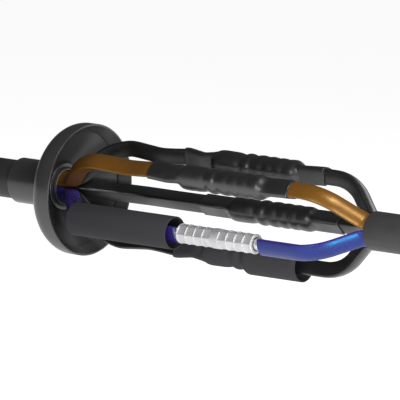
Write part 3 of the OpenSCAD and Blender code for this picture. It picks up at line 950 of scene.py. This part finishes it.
class SleeveShape:
    """Rings of a sleeve over sector core, bare conductor and connector."""

    def __init__(self, core):
        sizes = bpy.context.scene.joint_sizes
        self.count = sizes.ring_points
        angles = [math.tau * i / self.count for i in range(self.count)]
        outline = sector_outline(sizes.sleeve_wall + sizes.fit_gap, 12)
        bore = sector_outline(sizes.fit_gap, 12)
        self.tail = [ray_radius(outline, a) for a in angles]
        self.tail_bore = [ray_radius(bore, a) for a in angles]
        self.pocket = sizes.barrel_radius + sizes.fit_gap
        self.grip = sizes.bare_radius + sizes.fit_gap
        self.centre = ring_centre(core) + X_AXIS * CONNECTOR_MIDDLE
        self.core = core
        self.out, across = core_frame(core)
        self.ways = [self.out * math.cos(a) + across * math.sin(a) for a in angles]

    def ring(self, x, radii):
        """Ring at a place from the connector's middle, swayed as its core is."""
        middle = self.centre + X_AXIS * x + self.out * sway(self.core, CONNECTOR_MIDDLE + x)
        return [middle + way * r for way, r in zip(self.ways, radii)]

    def outer(self, x, inset=0.0):
        """Outside, from the core up to the connector over the bare conductor."""
        if x < 0:
            swell = ease((x - SWELL_LEFT) / SWELL_LEFT_LENGTH)
        else:
            swell = ease((SWELL_RIGHT - x) / SWELL_RIGHT_LENGTH)
        skin = curve(SKIN, x)
        return self.ring(x, [t + (skin - t) * swell - inset for t in self.tail])

    def inner(self, x):
        """Inside: a pocket for the connector, a grip on the bare conductor, then the core."""
        if abs(x) > BARE_RIGHT:
            return self.ring(x, self.tail_bore)
        bore = self.pocket if abs(x) <= POCKET_END else self.grip
        return self.ring(x, [max(t, bore) for t in self.tail_bore])


def stations(start, stop, step):
    """Evenly spaced places from one to another, both ends included."""
    count = max(1, math.ceil(abs(stop - start) / step))
    return [start + (stop - start) * i / count for i in range(count + 1)]


def left_places(left):
    """Places inside a sleeve from the connector's left end to the sleeve's."""
    return [-POCKET_END, -POCKET_STEP, -BARE_LEFT] + stations(-BARE_STEP, left, TAIL_STEP)


class CABLE_JOINT_OT_shrunk_sleeves(bpy.types.Operator):
    """Forms the three shrunk sleeves, tight over cores and connectors"""
    bl_idname = "cable_joint.shrunk_sleeves"
    bl_label = "Shrunk sleeves"

    def execute(self, context):
        material = shrink_tube("shrink_sleeve", context.scene.joint_colours.sleeve, roughness=0.38)
        left, right = SLEEVE_LEFT - CONNECTOR_MIDDLE, SLEEVE_RIGHT - CONNECTOR_MIDDLE
        skin = stations(left + SLEEVE_EDGE, right - SLEEVE_EDGE, SKIN_STEP)
        bore = stations(right, BARE_STEP, TAIL_STEP) + [BARE_RIGHT, POCKET_STEP, POCKET_END]
        bore += left_places(left)
        for core in ("black_top", "brown", "black_rear"):
            shape = SleeveShape(core)
            rings = [shape.outer(left, SLEEVE_EDGE)] + [shape.outer(x) for x in skin]
            rings += [shape.outer(right, SLEEVE_EDGE)] + [shape.inner(x) for x in bore]
            piece = lofted(f"sleeve_{core}_skin", rings + [rings[0]])
            close_up(angle=50)
            settle(piece, "sleeve_" + core, material)
        return {"FINISHED"}


class CABLE_JOINT_OT_open_sleeves(bpy.types.Operator):
    """Forms the half-shrunk sleeve and the sleeve parked on the blue core"""
    bl_idname = "cable_joint.open_sleeves"
    bl_label = "Open sleeves"

    def execute(self, context):
        material = bpy.data.materials["shrink_sleeve"]
        self.half_shrunk(context.scene.joint_sizes, material)
        self.parked(context.scene.joint_sizes, material)
        return {"FINISHED"}

    def half_shrunk(self, sizes, material):
        """Sleeve that is shrunk on its left half and still open on its right half."""
        shape = SleeveShape("black_bottom")
        left, right = SLEEVE_LEFT - CONNECTOR_MIDDLE, HALF_SLEEVE_RIGHT - CONNECTOR_MIDDLE
        tube, bore = sizes.half_radius, sizes.half_radius - sizes.loose_wall
        waist = curve(SKIN, OPENING_START)

        def opened(x):
            return ease((x - OPENING_START) / OPENING_LENGTH)

        def outer(x, inset=0.0):
            if x < OPENING_START:
                return shape.outer(x, inset)
            t = opened(x)
            return shape.ring(x, [waist * (1 - t) + tube * t - inset] * shape.count)

        def inner(x, inset=0.0):
            if x < OPENING_START:
                return shape.inner(x)
            t = opened(x)
            return shape.ring(x, [shape.pocket * (1 - t) + bore * t + inset] * shape.count)

        skin = stations(left + SLEEVE_EDGE, OPEN_FINE, SKIN_STEP)
        skin += stations(OPEN_COARSE, right - SLEEVE_EDGE, OPEN_STEP)
        back = [right - SLEEVE_EDGE, OPEN_BORE]
        back += stations(OPENING_START + OPENING_LENGTH, OPENING_START, SKIN_STEP)
        rings = [outer(left, SLEEVE_EDGE)] + [outer(x) for x in skin]
        rings += [outer(right, SLEEVE_EDGE), inner(right, BORE_EDGE)]
        rings += [inner(x) for x in back + left_places(left)]
        piece = lofted("sleeve_black_bottom_skin", rings + [rings[0]])
        close_up(angle=50)
        settle(piece, "sleeve_black_bottom", material)

    def parked(self, sizes, material):
        """Sleeve that waits unshrunk on the blue core."""
        outer, edge = (PARKED_HIGH.z - PARKED_LOW.z) / 2, SLEEVE_EDGE
        bore = outer - sizes.loose_wall
        low, high = PARKED_LOW.x, PARKED_HIGH.x
        profile = (
            fillet((low + edge, outer - edge), edge, 180, 90, 3)
            + fillet((high - edge, outer - edge), edge, 90, 0, 3)
            + fillet((high - edge, bore + edge), edge, 0, -90, 3)
            + fillet((low + edge, bore + edge), edge, -90, -180, 3)
        )
        piece = spun("sleeve_blue_skin", profile, sizes.ring_points, axis_place("sleeve_blue"))
        settle(piece, "sleeve_blue", material)


class CABLE_JOINT_PT_panel(bpy.types.Panel):
    """Lists the joint's sizes, colours and pieces"""
    bl_label = "Cable joint"
    bl_idname = "CABLE_JOINT_PT_panel"
    bl_space_type = "VIEW_3D"
    bl_region_type = "UI"
    bl_category = "Cable joint"

    def draw(self, context):
        """Draws the sizes and colours, then one button for each piece."""
        for group in (context.scene.joint_sizes, context.scene.joint_colours):
            for name in group.bl_rna.properties.keys():
                if name not in ("rna_type", "name"):
                    self.layout.prop(group, name)
        for operator in OPERATORS:
            self.layout.operator(operator.bl_idname)


OPERATORS = (
    CABLE_JOINT_OT_stage,
    CABLE_JOINT_OT_sheaths,
    CABLE_JOINT_OT_end_cap,
    CABLE_JOINT_OT_cores,
    CABLE_JOINT_OT_connectors,
    CABLE_JOINT_OT_shrunk_sleeves,
    CABLE_JOINT_OT_open_sleeves,
)
CLASSES = (JointSizes, JointColours, *OPERATORS, CABLE_JOINT_PT_panel)


def register():
    for item in CLASSES:
        bpy.utils.register_class(item)
    bpy.types.Scene.joint_sizes = PointerProperty(type=JointSizes)
    bpy.types.Scene.joint_colours = PointerProperty(type=JointColours)


def unregister():
    del bpy.types.Scene.joint_colours
    del bpy.types.Scene.joint_sizes
    for item in reversed(CLASSES):
        bpy.utils.unregister_class(item)


def main():
    """Builds the whole scene."""
    register()
    bpy.ops.cable_joint.stage()
    bpy.ops.cable_joint.sheaths()
    bpy.ops.cable_joint.end_cap()
    bpy.ops.cable_joint.cores()
    bpy.ops.cable_joint.connectors()
    bpy.ops.cable_joint.shrunk_sleeves()
    bpy.ops.cable_joint.open_sleeves()


if __name__ == "__main__":
    main()
